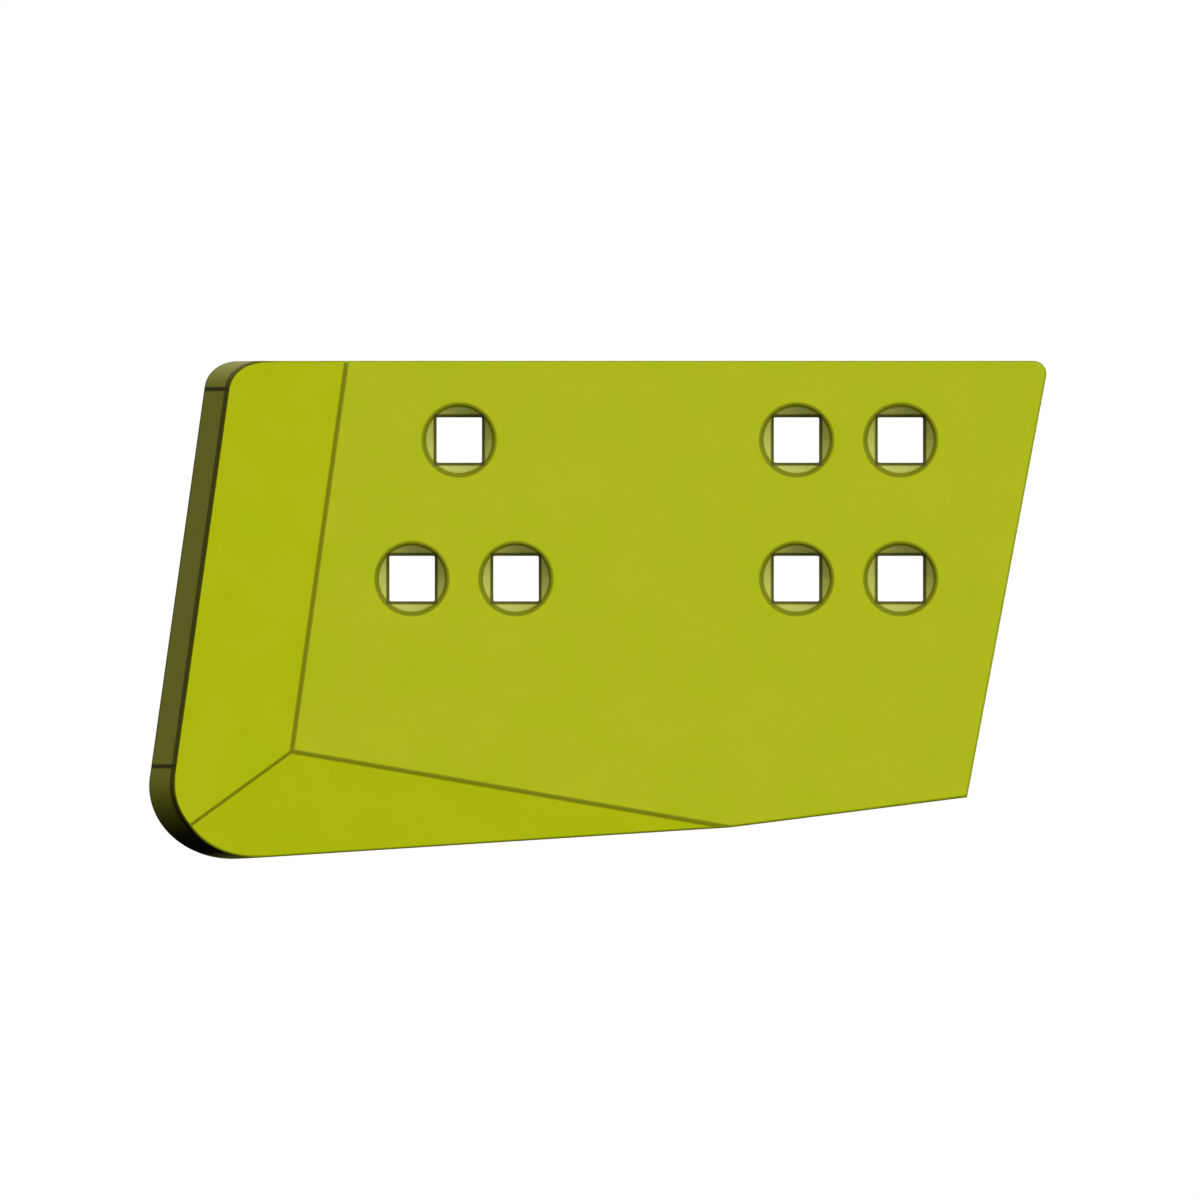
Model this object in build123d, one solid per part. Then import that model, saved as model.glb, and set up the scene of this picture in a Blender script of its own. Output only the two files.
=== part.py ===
from build123d import *
import os
from math import cos, radians, sin, tan

# Right-hand end bit of a bulldozer blade: one cast steel plate with countersunk square holes.
# It is modelled in millimetres, upright, as it is bolted to the blade. +X runs inboard, to the
# middle of the blade, and +Z is up. The flat back that seats on the blade lies in Y = 0 and the
# front faces -Y. The origin is the centre of the inboard bolt group, on the back face.
# Angles are in degrees.

# Plate
thickness = 45.0
top_above_bolt_row = 58.0
edge_round = 2.0

# Bolt holes: square, for plow bolts, countersunk from the front
bolt_pitch_x = 76.2
bolt_pitch_z = 101.6
outboard_group_x = -281.9
outboard_upper_shift = -3.5
hole_side = 33.3
hole_corner_radius = 1.2
countersink_width = 9.2
countersink_angle = 80.0
mouth_round = 1.0

# Inboard end: its place at the height of the origin, and its lean out towards the top
inboard_end_x = 126.5
inboard_end_lean = 10.64
inboard_top_radius = 9.5

# Lower edge: from its kink it rises inboard and drops, less steeply, outboard
kink_x = -86.9
kink_z = -233.2
lower_inboard_rise = 7.25
lower_outboard_drop = 3.69

# Outboard end: its back edge at the height of the origin, its lean, and its flare to the back
outboard_end_x = -486.4
outboard_end_lean = 8.0
end_flare = 29.0
outboard_top_radius = 21.5
outboard_lower_radius = 54.5

# Bevel facets at the outboard end and along the lower edge, which thin the plate outwards
facet_tilt = 6.9
end_facet_width = 102.3
lower_facet_angle = 9.85

top_z = bolt_pitch_z / 2 + top_above_bolt_row
countersink_mouth = hole_side + 2 * countersink_width
front = Vector(0, -1, 0)


def crossing(point_a, angle_a, point_b, angle_b):
    """Where two lines cross in (x, z), each given by a point and its angle from +X."""
    ax, az = cos(radians(angle_a)), sin(radians(angle_a))
    bx, bz = cos(radians(angle_b)), sin(radians(angle_b))
    dx, dz = point_b[0] - point_a[0], point_b[1] - point_a[1]
    along = (dx * bz - dz * bx) / (ax * bz - az * bx)
    return point_a[0] + along * ax, point_a[1] + along * az


def back_outline():
    """The sharp corners of the back face in (x, z), from the top outboard one round by the top."""
    top = ((0, top_z), 0)
    inboard = ((inboard_end_x, 0), 90 - inboard_end_lean)
    lower_inboard = ((kink_x, kink_z), lower_inboard_rise)
    lower_outboard = ((kink_x, kink_z), lower_outboard_drop)
    outboard = ((outboard_end_x, 0), 90 - outboard_end_lean)
    return [
        crossing(*outboard, *top),
        crossing(*top, *inboard),
        crossing(*inboard, *lower_inboard),
        (kink_x, kink_z),
        crossing(*lower_outboard, *outboard),
    ]


def outward(lean):
    """Unit vector in the plate's plane, square to the outboard end and away from it."""
    return Vector(-cos(radians(lean)), 0, sin(radians(lean)))


def tilted(point, away, tilt):
    """Plane through a point, with its normal turned from the front towards away by tilt."""
    return Plane(origin=point, z_dir=front * cos(radians(tilt)) + away * sin(radians(tilt)))


def end_wall_plane():
    """The flared end wall, through the back edge of the outboard end."""
    back_edge = Vector(outboard_end_x, 0, 0)
    return tilted(back_edge, outward(outboard_end_lean), 90 - end_flare)


def end_facet_plane():
    """The facet along the outboard end, through its crease on the front face."""
    crease = Vector(outboard_end_x, -thickness, 0) - outward(outboard_end_lean) * end_facet_width
    return tilted(crease, outward(outboard_end_lean), facet_tilt)


def lower_facet_plane():
    """The facet along the lower edge, through a crease that starts at the kink."""
    crease = Vector(kink_x, -thickness, kink_z)
    down = Vector(-sin(radians(lower_facet_angle)), 0, -cos(radians(lower_facet_angle)))
    return tilted(crease, down, facet_tilt)


def edge_to_front(body, corner):
    """The edge that runs from one sharp corner of the back face to the front."""
    start = Vector(corner[0], 0, corner[1])
    touching = [edge for edge in body.edges()
                if min((edge @ 0 - start).length, (edge @ 1 - start).length) < 0.01]
    return min(touching, key=lambda edge: (edge @ 0.5).Y)


def rim_edges(body):
    """The arrises around the front and the back, without the creases between the facets."""
    flats = body.faces().filter_by(lambda face: abs(face.normal_at().Y) > 0.9)
    edges = [edge for face in flats for edge in face.edges()]
    return [edge for edge in edges if sum(edge.is_same(other) for other in edges) == 1]


def plate():
    """The solid plate with its end wall, rounded corners and facets, without holes."""
    corners = back_outline()
    top_outboard, top_inboard, lower_outboard = corners[0], corners[1], corners[4]
    body = extrude(Plane.XZ * Polygon(*corners, align=None), thickness, dir=front)
    body = split(body, bisect_by=end_wall_plane(), keep=Keep.BOTTOM)
    body = fillet(edge_to_front(body, top_outboard), outboard_top_radius)
    body = fillet(edge_to_front(body, lower_outboard), outboard_lower_radius)
    body = fillet(edge_to_front(body, top_inboard), inboard_top_radius)
    for facet in (end_facet_plane(), lower_facet_plane()):
        body = split(body, bisect_by=facet, keep=Keep.BOTTOM)
    return fillet(rim_edges(body), edge_round)


def hole_centres():
    """Bolt centres in (x, z): four inboard, two below and one above outboard."""
    half_x, half_z = bolt_pitch_x / 2, bolt_pitch_z / 2
    inboard = [(x, z) for x in (-half_x, half_x) for z in (-half_z, half_z)]
    lower = [(outboard_group_x + x, -half_z) for x in (-half_x, half_x)]
    return inboard + lower + [(outboard_group_x + outboard_upper_shift, half_z)]


def bolt_hole():
    """The solid that one hole takes out: a square through hole and its countersink."""
    square = extrude(Plane.XZ * RectangleRounded(hole_side, hole_side, hole_corner_radius), thickness)
    depth = countersink_mouth / 2 / tan(radians(countersink_angle / 2))
    cone = Cone(0, countersink_mouth / 2, depth, align=(Align.CENTER, Align.CENTER, Align.MAX))
    return square + Plane.XZ.offset(thickness) * cone


def mouth_edges(body):
    """The edges of every hole where it opens in the front face and in the back face."""
    flats = body.faces().filter_by(lambda face: abs(face.normal_at().Y) > 0.999)
    return [edge for face in flats for wire in face.inner_wires() for edge in wire.edges()]


def end_bit():
    """The whole part: the plate with its bolt holes, their mouths slightly rounded."""
    body = plate()
    for x, z in hole_centres():
        body -= Pos(x, 0, z) * bolt_hole()
    return fillet(mouth_edges(body), mouth_round)


os.makedirs("parts", exist_ok=True)
export_step(end_bit(), "parts/end_bit.step")
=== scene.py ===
from math import cos, radians, sin, tan

import bpy
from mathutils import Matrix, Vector

# A dozer blade end bit, upright and seen square on from the front. Metres; +X inboard, +Z up.
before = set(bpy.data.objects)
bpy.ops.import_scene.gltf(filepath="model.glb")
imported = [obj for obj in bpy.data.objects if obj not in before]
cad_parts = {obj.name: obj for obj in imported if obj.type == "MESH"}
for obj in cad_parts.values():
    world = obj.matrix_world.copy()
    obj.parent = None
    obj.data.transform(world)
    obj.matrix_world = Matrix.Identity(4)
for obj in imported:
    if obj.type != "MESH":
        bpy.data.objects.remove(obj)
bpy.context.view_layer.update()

# Camera: the photograph is nearly without perspective, so the camera stands far off
VIEW_DISTANCE = 30.0
VIEW_WIDTH = 0.880
VIEW_X = -0.1822
VIEW_Z = -0.0665
SENSOR = 36.0

# Places on the part, as in its drawing
BOLT_PITCH_X = 0.0762
BOLT_PITCH_Z = 0.1016
OUTBOARD_GROUP_X = -0.2819
OUTBOARD_UPPER_SHIFT = -0.0035
HOLE_SIDE = 0.0333
FRONT_Y = -0.045
END_X = -0.4864
END_LEAN = 8.0
END_FACET_WIDTH = 0.1023
KINK = Vector((-0.0869, 0, -0.2332))
LOWER_CREASE_ANGLE = 9.85
FACET_TILT = 6.9
MOUTH_RADIUS = 0.02585
# Heights of the two lines across the end wall, where its rounded corners start
WALL_TANGENTS = (0.0882, -0.1885)

# Paint
PAINT_LIGHT = (175, 183, 10)
PAINT_DARK = (169, 181, 4)
# Painted shade: a darker, greyer coat on the plate's walls, standing in for the shade that falls on them
WALL_PAINTED_SHADE = (153, 155, 50)
# Painted light: a paler, greyer coat in the countersinks, lifting their shaded upper and right sides and
# greying them like a sheen
COUNTERSINK_PAINTED_LIGHT = (183, 188, 94)
LINE_TONE = (118, 124, 0)
OUTLINE_TONE = (150, 161, 14)
ARRIS_TONE = (86, 85, 0)
TANGENT_TONE = (60, 59, 0)
SQUARE_TONE = (86, 86, 34)
CREASE_HALF_WIDTH = 0.0018
RING_HALF_WIDTH = 0.0018
SQUARE_LINE_WIDTH = 0.0025
ARRIS_DEPTH = 0.0048
BACK_ARRIS_DEPTH = 0.0036
TANGENT_HALF_WIDTH = 0.0016
# Painted light: how much lighter the coat on the end and lower facets is, cancelling their shade from the
# key light
END_FACET_LIFT = 1.035
LOWER_FACET_LIFT = 1.055

# Light
KEY_DIRECTION = Vector((0.30, -0.90, 0.36))
KEY_STRENGTH = 3.34
REAR_DIRECTION = Vector((0.45, 0.85, -0.32))
REAR_STRENGTH = 2.6
SUN_SOFTNESS = 16.0
AMBIENT_UP = 0.20
AMBIENT_DOWN = 0.0

# Stage
FLOOR_Z = -1.3
FLOOR_SIZE = 6.0


def linear(rgb):
    """Linear colour from the 0 to 255 values of a screen colour."""
    def one(value):
        value = value / 255
        return value / 12.92 if value <= 0.04045 else ((value + 0.055) / 1.055) ** 2.4
    return tuple(one(value) for value in rgb) + (1.0,)


class Nodes:
    """A short way to add nodes to a material's or the world's tree."""

    def __init__(self, owner):
        owner.use_nodes = True
        self.tree = owner.node_tree
        self.tree.nodes.clear()

    def add(self, kind, inputs=None, **settings):
        node = self.tree.nodes.new(kind)
        for name, value in settings.items():
            setattr(node, name, value)
        for key, value in (inputs or {}).items():
            self.put(node.inputs[key], value)
        return node

    def put(self, socket, value):
        if isinstance(value, bpy.types.NodeSocket):
            self.tree.links.new(value, socket)
        else:
            socket.default_value = value

    def math(self, operation, *values):
        inputs = dict(enumerate(values))
        return self.add("ShaderNodeMath", inputs, operation=operation).outputs[0]

    def vector(self, operation, *values):
        node = self.add("ShaderNodeVectorMath", dict(enumerate(values)), operation=operation)
        return node.outputs["Value"] if operation in ("DOT_PRODUCT", "DISTANCE") else node.outputs[0]

    def ramp(self, value, low, high, start=0.0, end=1.0):
        """A smooth step from start at low to end at high."""
        inputs = {"Value": value, "From Min": low, "From Max": high, "To Min": start, "To Max": end}
        return self.add("ShaderNodeMapRange", inputs, interpolation_type="SMOOTHSTEP").outputs[0]

    def mix(self, factor, a, b):
        node = self.add("ShaderNodeMix", data_type="RGBA")
        self.put(node.inputs[0], factor)
        self.put(node.inputs[6], a)
        self.put(node.inputs[7], b)
        return node.outputs[2]

    def smallest(self, values):
        result = values[0]
        for value in values[1:]:
            result = self.math("MINIMUM", result, value)
        return result

    def largest(self, values):
        result = values[0]
        for value in values[1:]:
            result = self.math("MAXIMUM", result, value)
        return result


def hole_centres():
    half_x, half_z = BOLT_PITCH_X / 2, BOLT_PITCH_Z / 2
    inboard = [(x, z) for x in (-half_x, half_x) for z in (-half_z, half_z)]
    lower = [(OUTBOARD_GROUP_X + x, -half_z) for x in (-half_x, half_x)]
    return inboard + lower + [(OUTBOARD_GROUP_X + OUTBOARD_UPPER_SHIFT, half_z)]


class Relief:
    """Where a point of the surface lies against the part's facets and holes, as node outputs."""

    def __init__(self, nodes):
        self.place = nodes.add("ShaderNodeTexCoord").outputs["Object"]
        normal = nodes.add("ShaderNodeNewGeometry").outputs["Normal"]
        self.facing = nodes.vector("DOT_PRODUCT", normal, (0, -1, 0))
        out = Vector((-cos(radians(END_LEAN)), 0, sin(radians(END_LEAN))))
        down = Vector((-sin(radians(LOWER_CREASE_ANGLE)), 0, -cos(radians(LOWER_CREASE_ANGLE))))
        end_start = END_X * out.x - END_FACET_WIDTH
        self.past_end = nodes.math("SUBTRACT", nodes.vector("DOT_PRODUCT", self.place, out), end_start)
        self.past_lower = nodes.math("SUBTRACT", nodes.vector("DOT_PRODUCT", self.place, down),
                                     KINK.dot(down))
        self.higher = nodes.math("MAXIMUM", self.past_end, self.past_lower)
        self.first = nodes.math("MAXIMUM", self.higher, 0.0)
        self.at_end = nodes.ramp(self.past_end, 0.045, 0.070)
        parts = nodes.add("ShaderNodeSeparateXYZ", {0: self.place}).outputs
        self.across, self.height = parts[1], parts[2]
        front = nodes.math("MULTIPLY_ADD", self.first, tan(radians(FACET_TILT)), FRONT_Y)
        self.depth = nodes.math("SUBTRACT", self.across, front)
        flat = nodes.vector("MULTIPLY", self.place, (1, 0, 1))
        self.radius = nodes.smallest([nodes.vector("DISTANCE", flat, (x, 0, z))
                                      for x, z in hole_centres()])
        self.side = nodes.smallest([self.square_distance(nodes, x, z) for x, z in hole_centres()])

    def square_distance(self, nodes, x, z):
        """Distance from a hole's centre, the same all round a square."""
        offset = nodes.vector("ABSOLUTE", nodes.vector("SUBTRACT", self.place, (x, 0, z)))
        parts = nodes.add("ShaderNodeSeparateXYZ", {0: offset})
        return nodes.math("MAXIMUM", parts.outputs[0], parts.outputs[2])


def stripe(nodes, value, half_width):
    """1 where value is near 0, falling to 0 at about half_width on each side."""
    return nodes.ramp(nodes.math("ABSOLUTE", value), half_width * 0.5, half_width * 1.4, 1.0, 0.0)


def crease_lines(nodes, relief):
    """1 along the creases between the three front facets."""
    lower = nodes.math("MINIMUM", relief.past_end, relief.past_lower)
    second = nodes.math("MAXIMUM", lower, nodes.math("MINIMUM", relief.higher, 0.0))
    line = stripe(nodes, nodes.math("SUBTRACT", relief.first, second), CREASE_HALF_WIDTH)
    return nodes.math("MULTIPLY", line, nodes.ramp(relief.facing, 0.9, 0.97))


def mouth_lines(nodes, relief):
    """1 round the mouth of each countersink and round the square at its foot."""
    ring = stripe(nodes, nodes.math("SUBTRACT", relief.radius, MOUTH_RADIUS), RING_HALF_WIDTH)
    ring = nodes.math("MULTIPLY", ring, nodes.ramp(relief.depth, 0.004, 0.003))
    beyond = nodes.math("SUBTRACT", relief.side, HOLE_SIDE / 2)
    square = nodes.ramp(beyond, SQUARE_LINE_WIDTH * 0.6, SQUARE_LINE_WIDTH * 1.2, 1.0, 0.0)
    square = nodes.math("MULTIPLY", square, nodes.ramp(relief.depth, 0.016, 0.012))
    return ring, square


def arris_lines(nodes, relief):
    """1 on the rounded arrises round the front and the back, and a little way along the walls."""
    slanted = nodes.ramp(relief.facing, 0.985, 0.93)
    near = nodes.ramp(relief.depth, ARRIS_DEPTH * 1.3, ARRIS_DEPTH * 0.8)
    outside = nodes.ramp(relief.radius, MOUTH_RADIUS + 0.002, MOUTH_RADIUS + 0.003)
    front = nodes.math("MULTIPLY", nodes.math("MULTIPLY", slanted, near), outside)
    behind = nodes.ramp(relief.across, -BACK_ARRIS_DEPTH * 1.3, -BACK_ARRIS_DEPTH * 0.8)
    rounded = nodes.math("MULTIPLY", nodes.ramp(relief.facing, -0.8, -0.4), outside)
    return nodes.math("MAXIMUM", front, nodes.math("MULTIPLY", behind, rounded))


def tangent_lines(nodes, relief):
    """1 across the end wall, where its flat turns into the rounded corners."""
    lines = [stripe(nodes, nodes.math("SUBTRACT", relief.height, place), TANGENT_HALF_WIDTH)
             for place in WALL_TANGENTS]
    on_wall = nodes.math("MULTIPLY", nodes.ramp(relief.facing, 0.3, 0.4), relief.at_end)
    slanted = nodes.ramp(relief.facing, 0.9, 0.8)
    return nodes.math("MULTIPLY", nodes.math("MULTIPLY", nodes.largest(lines), on_wall), slanted)


def facet_painted_light(nodes, relief):
    """Painted light: a slightly lighter coat on the two facets, cancelling the shade they get from
    leaning away from the key light.
    """
    on_lower = nodes.ramp(nodes.math("SUBTRACT", relief.past_lower, relief.past_end), 0.0, 0.001)
    lift = nodes.math("MULTIPLY_ADD", on_lower, LOWER_FACET_LIFT - END_FACET_LIFT, END_FACET_LIFT - 1)
    on_facet = nodes.math("MULTIPLY", nodes.ramp(relief.higher, 0.0, 0.001),
                          nodes.ramp(relief.facing, 0.9, 0.97))
    return nodes.math("MULTIPLY_ADD", lift, on_facet, 1.0)


def paint_material():
    """Satin yellow-green enamel on cast steel, darker along creases and arrises, with painted shade on
    the walls and painted light on the facets and in the countersinks.
    """
    material = bpy.data.materials.new("end_bit_paint")
    nodes = Nodes(material)
    relief = Relief(nodes)
    place = relief.place

    cloud = nodes.add("ShaderNodeTexNoise", {"Vector": place, "Scale": 22.0, "Detail": 3.0}).outputs[0]
    tone = nodes.mix(nodes.ramp(cloud, 0.3, 0.7), linear(PAINT_DARK), linear(PAINT_LIGHT))
    # Painted light: the two facets get a lighter coat that cancels their shade
    lift = nodes.add("ShaderNodeCombineXYZ", dict.fromkeys(range(3), facet_painted_light(nodes, relief)))
    tone = nodes.vector("MULTIPLY", tone, lift.outputs[0])
    # Painted light: the countersink cones get the paler, greyer countersink coat
    cone_painted_light = nodes.math("MULTIPLY", nodes.ramp(relief.radius, MOUTH_RADIUS, MOUTH_RADIUS - 0.001),
                         nodes.ramp(relief.facing, 0.3, 0.5))
    tone = nodes.mix(cone_painted_light, tone, linear(COUNTERSINK_PAINTED_LIGHT))
    # Painted shade: the walls outside the countersinks get the darker, greyer wall coat
    wall_painted_shade = nodes.math("MULTIPLY", nodes.ramp(nodes.math("ABSOLUTE", relief.facing), 0.9, 0.8),
                        nodes.ramp(relief.radius, MOUTH_RADIUS, MOUTH_RADIUS + 0.001))
    tone = nodes.mix(wall_painted_shade, tone, linear(WALL_PAINTED_SHADE))
    ring, square = mouth_lines(nodes, relief)
    soft = nodes.largest([crease_lines(nodes, relief), ring])
    edge_tone = nodes.mix(relief.at_end, linear(OUTLINE_TONE), linear(ARRIS_TONE))
    colour = nodes.mix(soft, tone, linear(LINE_TONE))
    colour = nodes.mix(arris_lines(nodes, relief), colour, edge_tone)
    colour = nodes.mix(square, colour, linear(SQUARE_TONE))
    colour = nodes.mix(tangent_lines(nodes, relief), colour, linear(TANGENT_TONE))

    peel = nodes.add("ShaderNodeTexNoise", {"Vector": place, "Scale": 420.0, "Detail": 2.0}).outputs[0]
    cast = nodes.add("ShaderNodeTexNoise", {"Vector": place, "Scale": 60.0, "Detail": 3.0}).outputs[0]
    height = nodes.math("MULTIPLY_ADD", cast, 2.0, peel)
    bump = nodes.add("ShaderNodeBump", {"Strength": 0.12, "Distance": 0.0004, "Height": height})
    rough = nodes.ramp(cloud, 0.25, 0.75, 0.40, 0.45)

    shader = nodes.add("ShaderNodeBsdfPrincipled", {
        "Base Color": colour, "Roughness": rough, "Specular IOR Level": 0.1,
        "Normal": bump.outputs[0]})
    nodes.add("ShaderNodeOutputMaterial", {"Surface": shader.outputs[0]})
    return material


def seen_directly(nodes):
    """1 where the camera, a reflection or a view through glass looks, 0 for light itself."""
    ray = nodes.add("ShaderNodeLightPath")
    return nodes.largest([ray.outputs[name] for name in
                          ("Is Camera Ray", "Is Glossy Ray", "Is Transmission Ray")])


def make_world():
    """White to look at; as a light, dim and from above."""
    world = bpy.data.worlds.new("studio")
    bpy.context.scene.world = world
    nodes = Nodes(world)
    up = nodes.add("ShaderNodeSeparateXYZ", {0: nodes.add("ShaderNodeTexCoord").outputs["Generated"]})
    glow = nodes.ramp(up.outputs[2], -0.1, 1.0, AMBIENT_DOWN, AMBIENT_UP)
    direct = seen_directly(nodes)
    ray = nodes.add("ShaderNodeLightPath")
    reflected = nodes.math("MULTIPLY", ray.outputs["Is Glossy Ray"], nodes.ramp(up.outputs[2], 0.5, -0.1))
    white = nodes.add("ShaderNodeBackground", {
        "Color": (1, 1, 1, 1), "Strength": nodes.math("SUBTRACT", 1.0, reflected)})
    light = nodes.add("ShaderNodeBackground", {"Color": (1, 1, 1, 1), "Strength": glow})
    both = nodes.add("ShaderNodeMixShader", {0: direct, 1: light.outputs[0], 2: white.outputs[0]})
    nodes.add("ShaderNodeOutputWorld", {"Surface": both.outputs[0]})


def make_sun(name, direction, strength):
    """A large soft light from far off."""
    data = bpy.data.lights.new(name, "SUN")
    data.energy = strength
    data.angle = radians(SUN_SOFTNESS)
    sun = bpy.data.objects.new(name, data)
    sun.rotation_mode = "QUATERNION"
    sun.rotation_quaternion = direction.to_track_quat("Z", "Y")
    bpy.context.scene.collection.objects.link(sun)


def make_floor():
    """A pale floor well below the part, which hangs on its mount; from below it can't be seen."""
    material = bpy.data.materials.new("floor")
    nodes = Nodes(material)
    matt = nodes.add("ShaderNodeBsdfDiffuse", {"Color": (0.9, 0.9, 0.9, 1)})
    glow = nodes.add("ShaderNodeEmission", {"Color": (1, 1, 1, 1), "Strength": 0.62})
    both = nodes.add("ShaderNodeAddShader", {0: matt.outputs[0], 1: glow.outputs[0]})
    upper = nodes.add("ShaderNodeMixShader", {0: seen_directly(nodes), 1: matt.outputs[0],
                                              2: both.outputs[0]})
    lower = nodes.add("ShaderNodeBsdfTransparent")
    underneath = nodes.add("ShaderNodeNewGeometry").outputs["Backfacing"]
    surface = nodes.add("ShaderNodeMixShader", {0: underneath, 1: upper.outputs[0], 2: lower.outputs[0]})
    nodes.add("ShaderNodeOutputMaterial", {"Surface": surface.outputs[0]})
    bpy.ops.mesh.primitive_plane_add(size=FLOOR_SIZE, location=(VIEW_X, 0, FLOOR_Z))
    floor = bpy.context.object
    floor.name = "floor"
    floor.data.materials.append(material)
    floor.visible_diffuse = False
    floor.visible_glossy = False
    floor.visible_shadow = False


def make_camera():
    data = bpy.data.cameras.new("camera")
    data.sensor_width = SENSOR
    data.lens = SENSOR * VIEW_DISTANCE / VIEW_WIDTH
    data.clip_end = 4 * VIEW_DISTANCE
    camera = bpy.data.objects.new("camera", data)
    camera.location = (VIEW_X, FRONT_Y / 2 - VIEW_DISTANCE, VIEW_Z)
    camera.rotation_euler = (radians(90), 0, 0)
    bpy.context.scene.collection.objects.link(camera)
    bpy.context.scene.camera = camera


bpy.context.scene.view_settings.view_transform = "Standard"
make_camera()
make_world()
make_sun("key", KEY_DIRECTION, KEY_STRENGTH)
make_sun("rear", REAR_DIRECTION, REAR_STRENGTH)
make_floor()

end_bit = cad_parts["end_bit"]
end_bit.data.materials.clear()
end_bit.data.materials.append(paint_material())
